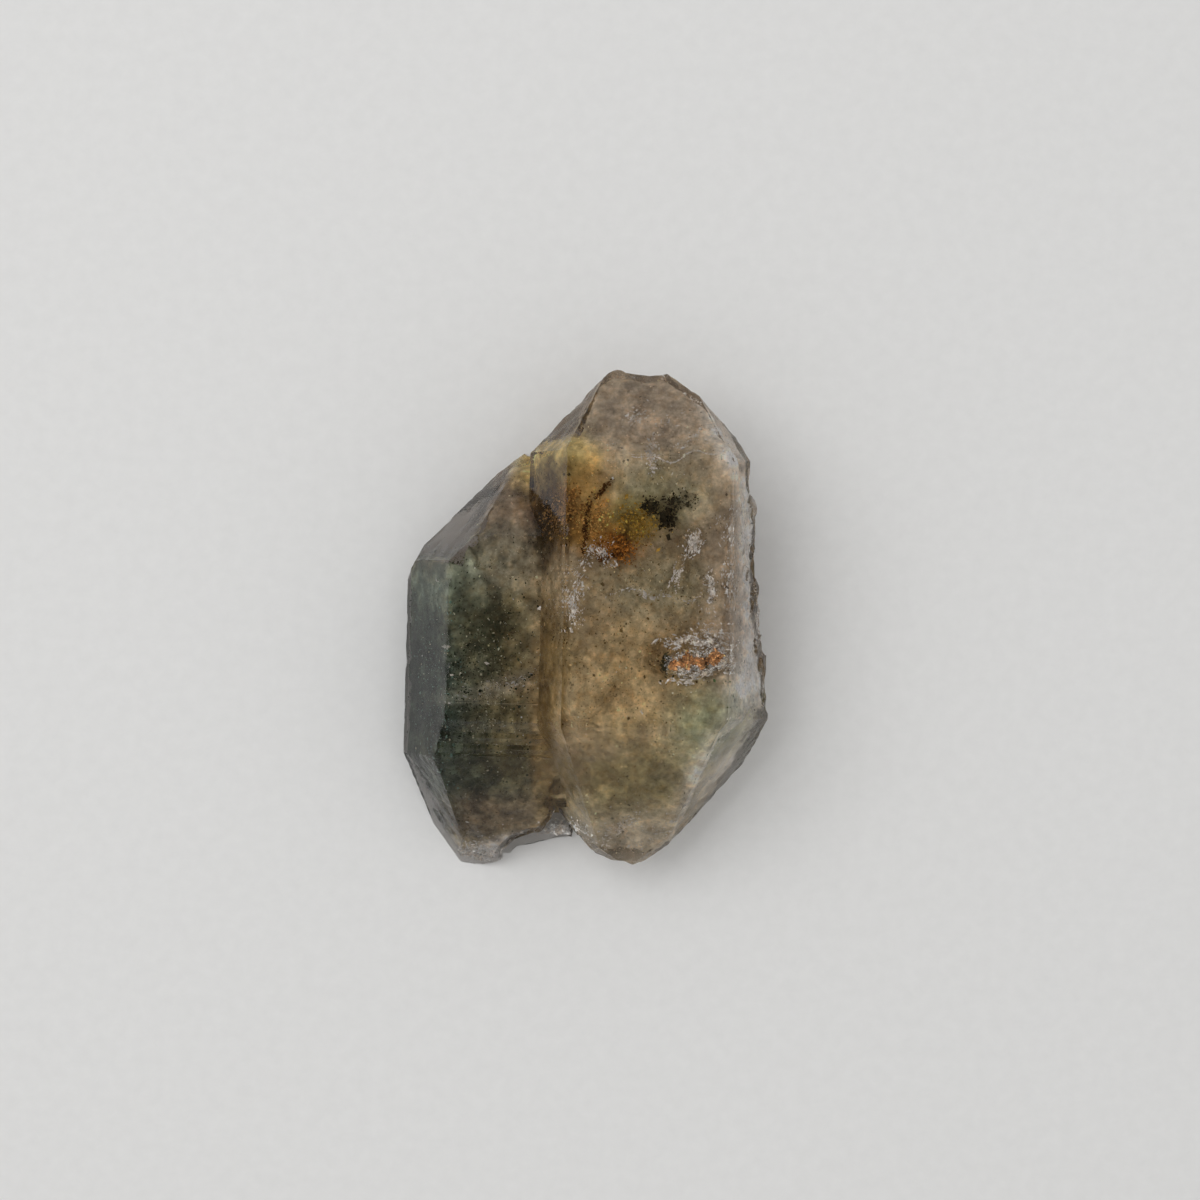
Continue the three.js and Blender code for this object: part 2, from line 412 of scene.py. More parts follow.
def with_specks(nodes, links, place, zone, patches, colour, speck_share):
    """Black specks over the colour, most of them in dark zones."""
    cells = node(nodes, "ShaderNodeTexVoronoi", Scale=3000.0)
    links.new(place, cells.inputs["Vector"])
    tone = node(nodes, "ShaderNodeRGBToBW")
    links.new(zone, tone.inputs[0])
    dark_zone = ranged(nodes, links, tone.outputs[0], (0.08, 0.3), (1.0, 0.12))
    crowded = ranged(nodes, links, patches, (0.5, 0.62), (speck_share, 0.0))
    crowded = math_node(nodes, links, "MULTIPLY", crowded, dark_zone)
    speck = ranged(nodes, links, cells.outputs["Distance"], (0.12, 0.3), (1.0, 0.0))
    speck = math_node(nodes, links, "MULTIPLY", speck, crowded)
    return blended(nodes, links, speck, colour, SPECK_BLACK)


def garden_material(name, speck_share, roughness=0.75, mirror=0.0, gloss=0.0):
    """Mineral matter: the mesh's zone colour, broken up by grains, specks and paler flecks. Sealed in
    quartz it has no gloss of its own."""
    material, nodes, links, shader = new_material(name)
    place = node(nodes, "ShaderNodeTexCoord").outputs["Object"]
    zone = node(nodes, "ShaderNodeAttribute", attribute_name="zone").outputs["Color"]
    patches = noise_node(nodes, links, place, scale=900, detail=5.0, roughness=0.68)
    grains_noise = noise_node(nodes, links, place, scale=4200, detail=4.0, roughness=0.75)
    colour = mottled(nodes, links, place, zone, patches, grains_noise)
    colour = with_specks(nodes, links, place, zone, patches, colour, speck_share)
    fleck_noise = noise_node(nodes, links, place, scale=6500, detail=2.0)
    fleck = ranged(nodes, links, fleck_noise, (0.66, 0.76), (0.0, 0.3))
    colour = blended(nodes, links, fleck, colour, FLECK_TAN)
    links.new(colour, shader.inputs["Base Color"])
    matt = ranged(nodes, links, grains_noise, MIDDLE_OF_NOISE, (roughness - 0.15, roughness + 0.15))
    links.new(matt, shader.inputs["Roughness"])
    shader.inputs["Metallic"].default_value = mirror
    shader.inputs["Specular IOR Level"].default_value = gloss
    bump = node(nodes, "ShaderNodeBump", Strength=0.6, Distance=0.00008)
    links.new(grains_noise, bump.inputs["Height"])
    links.new(bump.outputs[0], shader.inputs["Normal"])
    return material


BOARD_TONES = ((0.745, 0.745, 0.74, 1), (0.775, 0.775, 0.77, 1))


def floor_material():
    """A pale matt board with a barely visible grain."""
    material, nodes, links, shader = new_material("pale_board")
    place = node(nodes, "ShaderNodeTexCoord").outputs["Object"]
    fibres = noise_node(nodes, links, place, scale=900, detail=4.0)
    share = ranged(nodes, links, fibres, MIDDLE_OF_NOISE, (0.0, 1.0))
    colour = blended(nodes, links, share, *BOARD_TONES)
    links.new(colour, shader.inputs["Base Color"])
    shader.inputs["Roughness"].default_value = 0.9
    return material


# The clear crystals


EDGE_LENGTH = 0.42
SPLITS = 12
MOST_FACES = 150000
CHIPPED_ANGLE = math.radians(24)
CRISP_ANGLE = math.radians(14)

# How far off a prism or rhombohedral face may be, and how the latter leans, in degrees
PRISM_OFF = 3
RHOMB_OFF = 4
RHOMB_LEANS = (46, 62)

# How deep wear goes, in millimetres
SHELL_DEPTH = 0.16
GRIT_DEPTH = 0.06
CHIP_DEPTH = 0.08
FLANK_WEAR = 0.75
RESTING_HEIGHT = 0.02


def broken_share(normal):
    """1 on a broken surface, 0 on a crystal face, from the way the surface faces."""
    around = math.degrees(math.atan2(normal.x, normal.z)) % 60
    off_turn = min(around, 60 - around)
    lean = math.degrees(math.asin(max(-1.0, min(1.0, abs(normal.y)))))
    prism = lean < PRISM_OFF and off_turn < PRISM_OFF
    rhomb = RHOMB_LEANS[0] < lean < RHOMB_LEANS[1] and off_turn < RHOMB_OFF
    return 0.0 if prism or rhomb else 1.0


def split_finely(edit):
    """Splits the mesh until no edge is long."""
    bmesh.ops.remove_doubles(edit, verts=edit.verts, dist=1e-7)
    for _ in range(SPLITS):
        long_edges = [e for e in edit.edges if e.calc_length() > EDGE_LENGTH * MM]
        if not long_edges:
            break
        bmesh.ops.subdivide_edges(edit, edges=long_edges, cuts=1)
        bmesh.ops.triangulate(edit, faces=[f for f in edit.faces if len(f.verts) > 3])
        if len(edit.faces) > MOST_FACES:
            break
    edit.normal_update()
    edit.faces.index_update()
    edit.verts.index_update()


def broken_at_points(edit):
    """How broken the surface is around each point."""
    share = [broken_share(f.normal) for f in edit.faces]
    broken = np.zeros(len(edit.verts))
    for v in edit.verts:
        areas = [(f.calc_area(), share[f.index]) for f in v.link_faces]
        broken[v.index] = sum(a * s for a, s in areas) / max(sum(a for a, _ in areas), 1e-18)
    return broken


def on_sharp_edges(edit):
    """1 at the points of sharp edges, 0 elsewhere."""
    sharp = np.zeros(len(edit.verts))
    for e in edit.edges:
        if len(e.link_faces) == 2 and e.calc_face_angle(0) > CHIPPED_ANGLE:
            for v in e.verts:
                sharp[v.index] = 1
    return sharp


def wear_down(edit):
    """Wears broken surfaces into shallow shells and grit, chips sharp edges and gives each point's wear."""
    normals = np.array([v.normal for v in edit.verts])
    points = np.array([v.co for v in edit.verts]) / MM
    right_flank = smooth(11.0, 12.2, points[:, 0]) * smooth(-8.0, -5.0, points[:, 1])
    wear = np.maximum(broken_at_points(edit), FLANK_WEAR * right_flank)
    resting = points[:, 2] < RESTING_HEIGHT
    wear[resting] = 0
    shells = np.abs(cloud(points, size=(1.0, 1.6, 0.9), octaves=3, seed=5) - 0.5) * 2
    grit = cloud(points, size=0.4, octaves=2, seed=9)
    chips = CHIP_DEPTH * smooth(0.55, 0.8, cloud(points, size=1.1, octaves=2, seed=21))
    inward = wear * (SHELL_DEPTH * shells + GRIT_DEPTH * grit) + on_sharp_edges(edit) * chips * ~resting
    points = points - normals * inward[:, None]
    for v, p in zip(edit.verts, points):
        v.co = Vector(p * MM)
    return wear


def crystal_body(cad):
    """The CAD solid's mesh, split finely and worn where it is broken."""
    edit = bmesh.new()
    edit.from_mesh(cad.data)
    split_finely(edit)
    wear = wear_down(edit)
    for e in edit.edges:
        e.smooth = len(e.link_faces) == 2 and e.calc_face_angle(0) < CRISP_ANGLE
    for f in edit.faces:
        f.smooth = True
    mesh = bpy.data.meshes.new("quartz_crystals")
    edit.to_mesh(mesh)
    edit.free()
    layer = mesh.attributes.new("broken", "FLOAT", "POINT")
    layer.data.foreach_set("value", wear.astype(np.float32))
    body = placed("quartz_crystals", mesh)
    body.data.materials.append(quartz_material())
    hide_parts(NODE)
    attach(body, "root")
    return body


# The garden of minerals

# Zones of colour, in photo pixels: middle, half width, half height, turn in degrees, edge softness,
# raggedness, strength and display colour. Later zones lie over earlier ones.
ZONES = {
    "short top": (500, 510, 80, 36, 0, 0.3, 0.12, 1.0, (80, 69, 56)),
    "short front": (470, 690, 90, 150, 0, 0.3, 0.25, 1.0, (66, 66, 52)),
    "short upper": (500, 560, 60, 30, 0, 0.7, 0.40, 0.8, (98, 92, 76)),
    "short teal": (436, 720, 26, 90, 0, 0.6, 0.45, 0.85, (42, 54, 50)),
    "short teal low": (470, 760, 50, 26, 10, 0.7, 0.5, 0.7, (40, 52, 46)),
    "short left": (425, 690, 28, 135, 0, 0.4, 0.2, 1.0, (20, 25, 20)),
    "short dark mid": (500, 640, 40, 34, 20, 0.8, 0.6, 0.6, (48, 50, 36)),
    "short dark low": (495, 758, 56, 36, 0, 0.8, 0.5, 0.85, (36, 36, 25)),
    "short dark top": (452, 580, 34, 24, -20, 0.8, 0.6, 0.7, (58, 66, 56)),
    "short olive": (520, 690, 26, 100, 4, 0.7, 0.5, 0.6, (74, 66, 44)),
    "short pale feather": (508, 684, 30, 8, -18, 0.8, 0.6, 0.6, (118, 110, 92)),
    "short pale patch": (456, 697, 20, 9, 0, 0.8, 0.7, 0.45, (96, 98, 84)),
    "short low": (480, 815, 80, 24, 0, 0.6, 0.3, 0.9, (66, 57, 45)),
    "short lower left": (424, 800, 26, 50, -25, 0.5, 0.3, 0.9, (26, 30, 22)),
    # The chip and ledge zone is painted light: pale colour that brightens the shaded floor seen through the
    # thin quartz there.
    "chip and ledge painted light": (500, 852, 80, 14, -14, 0.5, 0.2, 0.95, (190, 178, 166)),
    "contact tan": (548, 690, 14, 120, 2, 0.6, 0.35, 0.75, (110, 90, 58)),
    "long middle": (640, 640, 100, 110, 0, 0.5, 0.3, 1.0, (108, 92, 68)),
    "long top": (660, 470, 90, 60, 0, 0.6, 0.3, 0.9, (112, 100, 80)),
    "long point": (655, 412, 80, 40, 0, 0.4, 0.2, 0.95, (106, 93, 78)),
    "long right": (728, 570, 30, 150, 0, 0.6, 0.35, 0.9, (104, 90, 74)),
    "flank": (762, 590, 28, 200, 0, 0.4, 0.2, 0.97, (215, 203, 190)),
    "flank low": (750, 700, 26, 44, 0, 0.6, 0.3, 0.95, (212, 204, 190)),
    "yellow green": (556, 470, 36, 38, 20, 0.5, 0.35, 0.95, (154, 128, 72)),
    "rust": (568, 514, 52, 40, 40, 0.6, 0.45, 0.95, (50, 31, 8)),
    "dark olive": (553, 533, 16, 26, 10, 0.7, 0.4, 0.85, (46, 40, 20)),
    "orange": (592, 508, 26, 40, 10, 0.6, 0.45, 0.85, (136, 94, 46)),
    "mustard": (634, 520, 26, 22, 0, 0.6, 0.45, 0.95, (118, 90, 32)),
    "green mottle": (652, 500, 56, 28, 0, 0.8, 0.6, 0.6, (92, 92, 66)),
    "rust low": (618, 548, 26, 16, 25, 0.7, 0.5, 0.85, (96, 60, 24)),
    "black patch": (668, 514, 12, 16, 15, 0.9, 1.0, 0.35, (60, 50, 30)),
    "tan cloud": (628, 690, 58, 62, 0, 0.7, 0.5, 0.9, (136, 112, 76)),
    "brown pit": (570, 652, 12, 30, 0, 0.8, 0.5, 0.6, (78, 66, 42)),
    "grey green": (655, 586, 46, 30, 0, 0.8, 0.5, 0.7, (106, 102, 80)),
    "green tinge": (708, 728, 44, 42, -30, 0.7, 0.5, 0.8, (96, 101, 76)),
    "olive low": (630, 782, 62, 44, 0, 0.7, 0.5, 0.9, (88, 79, 52)),
    "tan strip": (556, 690, 12, 90, 0, 0.5, 0.3, 0.85, (76, 61, 36)),
    "rust strip": (556, 520, 16, 42, 0, 0.6, 0.4, 0.9, (26, 16, 4)),
    "foot strip": (575, 800, 16, 52, -18, 0.5, 0.3, 0.7, (122, 108, 78)),
    "foot": (640, 836, 50, 26, 0, 0.8, 0.4, 0.8, (118, 108, 92)),
    # The lower right and top right facet zones are painted light: pale colour under those clear facets that
    # brightens them past their shade.
    "lower right facet painted light": (730, 770, 34, 60, 30, 0.5, 0.3, 0.85, (176, 166, 152)),
    "top right facet painted light": (738, 430, 28, 50, -25, 0.5, 0.2, 0.95, (215, 203, 188)),
}
GARDEN_BASE = (104, 92, 72)
PALEST = 0.9

# How bright a white mineral looks inside, and how much of its light quartz lets out and turns back
LIGHT_INSIDE = 0.60
LET_OUT = 0.36
HELD_BACK = 0.6


def under_quartz(colour):
    """The colour that a mineral needs of its own to show as the given one through quartz, whose surface
    turns part of the light back inside."""
    seen = linear(colour) / LIGHT_INSIDE
    return seen / (LET_OUT + HELD_BACK * seen)


def zone_shares(p):
    """Each zone's colour and its share at each point."""
    u, v = pixel(p)
    ragged = cloud(p, size=2.4, octaves=4, seed=31) * 2 - 1
    ragged_fine = cloud(p, size=0.7, octaves=3, seed=57) * 2 - 1
    for middle_u, middle_v, wide, high, turn, soft, rough, strength, colour in ZONES.values():
        c, s = math.cos(math.radians(turn)), math.sin(math.radians(turn))
        du, dv = u - middle_u, v - middle_v
        along, across = (du * c + dv * s) / wide, (dv * c - du * s) / high
        reach = np.hypot(along, across) + rough * (ragged + 0.6 * ragged_fine)
        yield colour, (1 - smooth(1 - soft, 1 + soft, reach)) * strength


def zone_colours(p):
    """The mineral colour at each point, as linear light, with more contrast in the short crystal."""
    colours = np.tile(under_quartz(GARDEN_BASE), (len(p), 1))
    for colour, share in zone_shares(p):
        colours += (under_quartz(colour) - colours) * share[:, None]
    blotches = cloud(p, size=1.3, octaves=4, seed=83) - 0.5
    grains_tone = cloud(p, size=0.35, octaves=2, seed=97) - 0.5
    dark_side = smooth(-1.0, -4.0, p[:, 0])
    shade = np.exp(between(1.3, 2.6, dark_side) * blotches + between(0.9, 1.5, dark_side) * grains_tone)
    return np.clip(colours * shade[:, None], 0, PALEST)


GARDEN_STEP = 0.2
LEAST_DEPTH = 0.3
LEAST_INSET = 0.42
OUTSIDE = -1.0
FAR = 9.0

# Where the crystals meet, and the height at which each one is widest
CONTACT_X = -1.9
CONTACT_HALF = 0.8
LONG_WIDEST = 7.7
SHORT_WIDEST = 3.5

# The garden's depth in millimetres at the front and the sides, more in wide dips, its lumps and moss, less
# beside a clear facet and at the foot, and more low on the long and the short crystal's outer sides
FRONT_INSET = 0.95
SIDE_INSET = 0.5
FRONT_DIPS = 1.5
SIDE_DIPS = 0.5
LUMP_HEIGHT = 0.8
MOSS_HEIGHT = 0.5
FACET_RISE = 0.9
FOOT_RISE = 0.5
LONG_LOW_INSET = 1.4
SHORT_LOW_INSET = 0.5

# The garden's ends: how much deeper it is there, how they slope, and how ragged they are
END_INSET = 0.4
END_SLOPE = 0.8
END_SWAY = 2.4
END_LUMPS = 1.2

# Pale facets, under which the quartz is clear. Beside each is a prism face: the crystal's c axis (x, z),
# the face's turn from the top in degrees and its reach. The facet leaves it at y = start, at the upper
# end (1) or the lower end (-1), and leans by so many degrees. Under it so many millimetres are clear.
LONG_AXIS = (4.3, LONG_WIDEST)
SHORT_AXIS = (-6.1, SHORT_WIDEST)
CLEAR_FACETS = (
    {
        "axis": LONG_AXIS, "turn": 60, "reach": 7.4, "start": 12.2, "end": 1, "lean": 38.2, "clear": 20.0,
        "outline": ((518, 444), (600, 360), (604, 372), (573, 435), (534, 444)),
    },
    {
        "axis": SHORT_AXIS, "turn": 60, "reach": 6.2, "start": 4.3, "end": 1, "lean": 40.0, "clear": 20.0,
        "outline": ((404, 555), (513, 444), (517, 455), (475, 531), (454, 559)),
    },
    {
        "axis": LONG_AXIS, "turn": -60, "reach": 7.42, "start": 11.8, "end": 1, "lean": 39.6, "clear": 1.6,
        "outline": ((697, 389), (720, 388), (757, 471), (741, 466), (719, 426)),
    },
    {
        "axis": LONG_AXIS, "turn": -60, "reach": 7.42, "start": -6.6, "end": -1, "lean": 36.0, "clear": 2.2,
        "outline": ((672, 842), (718, 741), (752, 716), (776, 712), (690, 850)),
    },
)
EDGE_RAGGED = 0.25


def seen_on_facet(p, on_facet, facing):
    """Where the camera's bent sight line to each point enters the facet."""
    bent = 1 / QUARTZ_IOR
    turned_in = bent * facing[2] - math.sqrt(1 - bent**2 * (1 - facing[2] ** 2))
    sight = np.array([0.0, 0.0, -bent]) + turned_in * facing
    return p - ((p - on_facet) @ facing / (sight @ facing))[:, None] * sight


def inside_outline(p, outline):
    """How far each point is inside an outline, in millimetres."""
    u, v = pixel(p)
    inside = np.full(len(p), FAR)
    for (u1, v1), (u2, v2) in zip(outline, outline[1:] + outline[:1]):
        length = math.hypot(u2 - u1, v2 - v1)
        in_pixels = ((u2 - u1) * (v - v1) - (v2 - v1) * (u - u1)) / length
        inside = np.minimum(inside, in_pixels * CAMERA_AT[2] / FOCAL_PIXELS)
    return inside


def clear_of_facets(p, uneven):
    """How far each point is outside the clear quartz under those facets, and from its walls."""
    field = np.full(len(p), FAR)
    near_edge = np.full(len(p), FAR)
    for facet in CLEAR_FACETS:
        x, z = facet["axis"]
        around, lean = math.radians(facet["turn"]), math.radians(facet["lean"])
        outward = np.array([-math.sin(around), 0.0, math.cos(around)])
        facing = outward * math.cos(lean) + np.array([0.0, facet["end"] * math.sin(lean), 0.0])
        on_facet = np.array([x, facet["start"], z]) + outward * facet["reach"]
        inside = inside_outline(seen_on_facet(p, on_facet, facing), facet["outline"])
        near_edge = np.minimum(near_edge, np.abs(inside))
        past_clear = (on_facet - p) @ facing - facet["clear"] * (0.75 + 0.5 * uneven)
        field = np.minimum(field, np.maximum(EDGE_RAGGED * (uneven - 0.5) - inside, past_clear))
    return field, near_edge


def garden_inset(p, short, wide, lumps, near_edge):
    """How far below the surface the garden starts."""
    x, y, z = p.T
    moss = cloud(p, size=0.5, octaves=2, seed=13)
    sides = smooth(-8.0, -10.0, x) + smooth(6.0, 9.0, x)
    shallow = np.maximum(sides, smooth(10.0, 13.0, np.abs(y)))
    inset = between(FRONT_INSET, SIDE_INSET, shallow)
    inset += between(FRONT_DIPS, SIDE_DIPS, shallow) * smooth(0.3, 0.75, wide)
    inset += LUMP_HEIGHT * (lumps - 0.5) + MOSS_HEIGHT * (moss - 0.5)
    inset -= FACET_RISE * smooth(2.2, 0.6, near_edge)
    below_widest = between(LONG_WIDEST, SHORT_WIDEST, short) - z
    outer_sides = smooth(-8.5, -10.5, x) + smooth(6.5, 9.0, x)
    low_inset = between(LONG_LOW_INSET, SHORT_LOW_INSET, short)
    inset += low_inset * outer_sides * smooth(0.0, 2.5, below_widest)
    at_foot = smooth(-13.2, -14.2, y) * smooth(0.8, 0.0, x)
    return inset - FOOT_RISE * at_foot


def inside_ends(p, short, wide, lumps):
    """How far each point is inside the garden's ragged ends."""
    x, y, _ = p.T
    long_top = 13.2 + 5.6 * smooth(-1.0, 0.8, x) - 2.6 * smooth(8.0, 11.0, x)
    short_top = 7.0 + 5.4 * smooth(-9.6, -6.8, x)
    long_foot = -18.2 + 3.0 * smooth(7.5, 11.0, x)
    short_foot = -18.8 + 1.4 * smooth(-4.6, -2.6, x)
    top = between(long_top, short_top, short)
    foot = between(long_foot, short_foot, short)
    return np.minimum(top - y, y - foot) + END_SWAY * (wide - 0.5) + END_LUMPS * (lumps - 0.5)


def garden_surface(depth):
    """The garden: one lumpy, mossy mass that follows the crystal faces a little way in."""
    lo, hi = (np.array(corner) / MM for corner in CAD_BOX)
    counts = np.ceil((hi - lo) / GARDEN_STEP).astype(int) + 1
    axes = [lo[i] + GARDEN_STEP * np.arange(counts[i]) for i in range(3)]
    points = np.stack(np.meshgrid(*axes, indexing="ij"), -1).reshape(-1, 3)
    below = depth.at(points)
    near = below > LEAST_DEPTH
    p = points[near]
    wide = cloud(p, size=5.0, octaves=2, seed=3)
    lumps = cloud(p, size=1.3, octaves=3, seed=7)
    short = smooth(CONTACT_X + CONTACT_HALF, CONTACT_X - CONTACT_HALF, p[:, 0])
    clear_of, near_edge = clear_of_facets(p, lumps)
    inset = garden_inset(p, short, wide, lumps, near_edge)
    ends = inside_ends(p, short, wide, lumps)
    inset += END_INSET * (1 - smooth(0.5, 2.0, ends))
    inside = np.minimum(below[near] - np.maximum(inset, LEAST_INSET), END_SLOPE * ends)
    field = np.full(len(points), OUTSIDE)
    field[near] = np.minimum(inside, clear_of)
    return surface_nets(field.reshape(counts), lo, GARDEN_STEP)


def garden_body(depth):
    """The garden's mesh, in its zone colours."""
    points, faces = garden_surface(depth)
    body = mesh_object("mineral_garden", points, faces)
    paint(body, "zone", zone_colours(points))
    # The zone colours include painted light under the top right and lower right facets and in the chip and
    # ledge.
    body.data.materials.append(garden_material("chlorite_clay_and_painted_light", 0.75))
    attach(body, "root")
    return body


# Grains, flakes and veils


# The points and faces of an eight-sided pebble
PEBBLE = np.array([[1, 0, 0], [-1, 0, 0], [0, 1, 0], [0, -1, 0], [0, 0, 1], [0, 0, -1]], float)
PEBBLE_FACES = np.array(
    [[0, 2, 4], [2, 1, 4], [1, 3, 4], [3, 0, 4], [2, 0, 5], [1, 2, 5], [3, 1, 5], [0, 3, 5]]
)


def turned(count, chance):
    """Random turns, as matrices."""
    q = chance.normal(size=(count, 4))
    q /= np.linalg.norm(q, axis=1, keepdims=True)
    w, x, y, z = q.T
    rows = (
        [1 - 2 * (y * y + z * z), 2 * (x * y - z * w), 2 * (x * z + y * w)],
        [2 * (x * y + z * w), 1 - 2 * (x * x + z * z), 2 * (y * z - x * w)],
        [2 * (x * z - y * w), 2 * (y * z + x * w), 1 - 2 * (x * x + y * y)],
    )
    return np.stack([np.stack(row, -1) for row in rows], 1)


FLAKE_TILT = 0.16


def turned_along(ways, spread, chance):
    """Turns that lay a flake's length along its own way across the crystal, give or take the spread."""
    angles = ways + chance.normal(0, spread, len(ways))
    tilts = chance.normal(0, FLAKE_TILT, len(ways))
    c, s, ct, st = np.cos(angles), np.sin(angles), np.cos(tilts), np.sin(tilts)
    zero = np.zeros(len(ways))
    rows = ([c, -s * ct, s * st], [s, c * ct, -c * st], [zero, st, ct])
    return np.stack([np.stack(row, -1) for row in rows], 1)


def grains(name, middles, radii, thickness, colours, material, chance, turns=None, length=1.0):
    """Many small angular flakes in one mesh."""
    count = len(middles)
    width, height = chance.uniform(0.5, 1.0, count), thickness * chance.uniform(0.6, 1.4, count)
    stretch = np.stack([np.full(count, length), width, height], 1)
    jitter = chance.uniform(0.75, 1.2, (count, 6, 1))
    shapes = PEBBLE[None] * jitter * (stretch * radii[:, None])[:, None, :]
    turns = turned(count, chance) if turns is None else turns
    points = np.einsum("nij,nvj->nvi", turns, shapes) + middles[:, None, :]
    faces = PEBBLE_FACES[None] + 6 * np.arange(count)[:, None, None]
    obj = mesh_object(name, points.reshape(-1, 3), faces.reshape(-1, 3), smooth_faces=False)
    paint(obj, "zone", np.repeat(colours, 6, axis=0))
    obj.data.materials.append(material)
    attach(obj, "root")
    return obj


# The loose flakes: how many places are tried and how many are used at most. In millimetres, how far off
# the garden they float, how deep in the quartz at least, their middle size and the range of sizes
FLAKES_TRIED = 42000
MOST_FLAKES = 24000
FLAKE_AWAY = 0.35
FLAKE_DEPTH = 0.2
FLAKE_SIZE = 0.055
FLAKE_SIZES = (0.02, 0.16)


def points_and_normals(mesh):
    """The mesh's points, in millimetres, and its directions there."""
    points, normals = np.empty((2, len(mesh.vertices) * 3))
    mesh.vertices.foreach_get("co", points)
    mesh.vertices.foreach_get("normal", normals)
    return points.reshape(-1, 3) / MM, normals.reshape(-1, 3)


def moss_flakes(garden, depth, chance):
    """Chlorite flakes and clay grains floating in the clear quartz just above the garden."""
    points, normals = points_and_normals(garden.data)
    picked = chance.choice(len(points), FLAKES_TRIED)
    crowd = noise(points[picked], size=1.5, seed=41)
    picked = picked[chance.random(len(picked)) < smooth(0.2, 0.8, crowd)]
    away = chance.exponential(FLAKE_AWAY, len(picked))
    middles = points[picked] + normals[picked] * away[:, None]
    middles = middles[depth.at(middles) > FLAKE_DEPTH][:MOST_FLAKES]
    radii = chance.lognormal(math.log(FLAKE_SIZE), 0.5, len(middles))
    tone = np.exp(chance.normal(-0.15, 0.55, len(middles)))
    colours = np.clip(zone_colours(middles) * tone[:, None], 0, PALEST)
    material = garden_material("loose_flakes", speck_share=0.4)
    return grains(
        "mineral_flakes", middles, np.clip(radii, *FLAKE_SIZES), 0.35, colours, material,
        chance,
    )


# Veils and streaks of milky quartz, in photo pixels: start, end, half width, depth in mm, how many
# flakes, flake size in mm and whiteness
VEILS = {
    "top left": (618, 428, 642, 412, 8, 1.0, 420, 0.07, 0.8),
    "top middle": (665, 425, 700, 400, 7, 1.0, 460, 0.07, 0.8),
    "top right": (680, 445, 712, 430, 6, 0.8, 300, 0.06, 0.7),
    "top bar": (652, 440, 652, 470, 5, 1.0, 380, 0.06, 0.7),
    "shoulder line": (628, 453, 734, 458, 0.5, 0.3, 560, 0.05, 0.6),
    "speck one": (539, 608, 542, 610, 1, 0.4, 16, 0.08, 1.0),
    "speck two": (445, 646, 447, 648, 1, 0.4, 14, 0.08, 1.0),
    "speck three": (450, 674, 452, 676, 1, 0.4, 10, 0.08, 0.9),
    "speck four": (485, 662, 487, 664, 1, 0.4, 10, 0.08, 0.9),
    "speck five": (437, 580, 439, 582, 1, 0.4, 10, 0.08, 0.9),
    "speck six": (641, 711, 643, 715, 1, 0.4, 18, 0.08, 1.0),
    "oval": (698, 533, 690, 553, 6, 0.9, 460, 0.07, 1.0),
    "streak one": (683, 562, 676, 590, 2, 0.8, 200, 0.05, 1.0),
    "streak two": (675, 566, 670, 588, 1.5, 0.8, 120, 0.05, 0.8),
    "blue streak": (711, 572, 711, 606, 4, 0.8, 380, 0.06, 0.9),
    "flank streak": (737, 500, 742, 545, 4, 0.7, 300, 0.06, 0.8),
    "flank streak low": (748, 560, 756, 610, 3, 0.6, 220, 0.06, 0.7),
    "band": (600, 597, 705, 594, 3, 0.9, 260, 0.05, 0.4),
    "flecks": (577, 584, 572, 624, 7, 0.7, 520, 0.06, 0.9),
    "mist": (700, 630, 735, 650, 12, 1.0, 520, 0.06, 0.6),
    "hollow above": (668, 640, 728, 648, 5, 0.35, 420, 0.09, 1.0),
    "hollow below": (672, 682, 728, 666, 5, 0.35, 420, 0.09, 0.9),
    "rust flecks": (592, 545, 612, 562, 7, 0.7, 300, 0.06, 0.7),
    "feather": (488, 690, 532, 675, 4, 0.9, 160, 0.045, 0.3),
    "pale patch": (440, 700, 470, 694, 7, 0.9, 120, 0.045, 0.2),
    "tip veil one": (600, 842, 640, 812, 8, 0.9, 460, 0.07, 0.7),
    "tip veil two": (640, 845, 678, 815, 9, 0.9, 460, 0.07, 0.6),
    # The ledge and chip flakes are painted light: pale flakes that brighten the shaded floor seen through
    # the thin quartz.
    "ledge": (512, 838, 562, 840, 8, 0.6, 420, 0.06, 0.8),
    "chip": (462, 850, 498, 846, 9, 0.5, 420, 0.06, 0.8),
    "right facet band": (735, 720, 760, 708, 4, 0.4, 300, 0.07, 0.8),
    "upper growth": (560, 600, 604, 540, 12, 1.1, 360, 0.06, 0.5),
    "right haze": (735, 470, 745, 690, 12, 0.8, 900, 0.07, 0.5),
}


# The veils' counts, sizes and depths are taken times the first three of these.
VEIL_CROWD = 0.75
VEIL_SIZE = 0.5
VEIL_DEPTH = 0.55
LEAST_VEIL_DEPTH = 0.12
VEIL_SPREAD = 0.6
MILK = np.array([0.97, 0.94, 0.90])


def surface_height(depth, x, y):
    """The height of the crystals' upper surface."""
    hit = depth.tree.ray_cast((x, y, 30.0), (0, 0, -1))[0]
    return hit.z if hit else None


def surface_seen(depth, u, v):
    """The point of the crystals' surface that the camera sees at photo pixel u, v."""
    eye = Vector(CAMERA_AT)
    return depth.tree.ray_cast(eye, (Vector(spot(u, v, 0.0)) - eye).normalized())[0]


def along_veil(start_u, start_v, end_u, end_v, width, count, chance):
    """Photo pixels scattered along a slightly bent line."""
    along = np.clip(chance.normal(0.5, 0.3, count), -0.2, 1.2)
    across = chance.normal(0, 0.4, count) * (1 + 1.5 * chance.random(count) ** 3)
    du, dv = end_u - start_u, end_v - start_v
    length = math.hypot(du, dv)
    bend = 0.05 * length * np.sin(along * 6.0 + start_u) + 0.03 * length * np.sin(along * 17.0 + start_v)
    side = across * width + bend
    return start_u + du * along - dv / length * side, start_v + dv * along + du / length * side


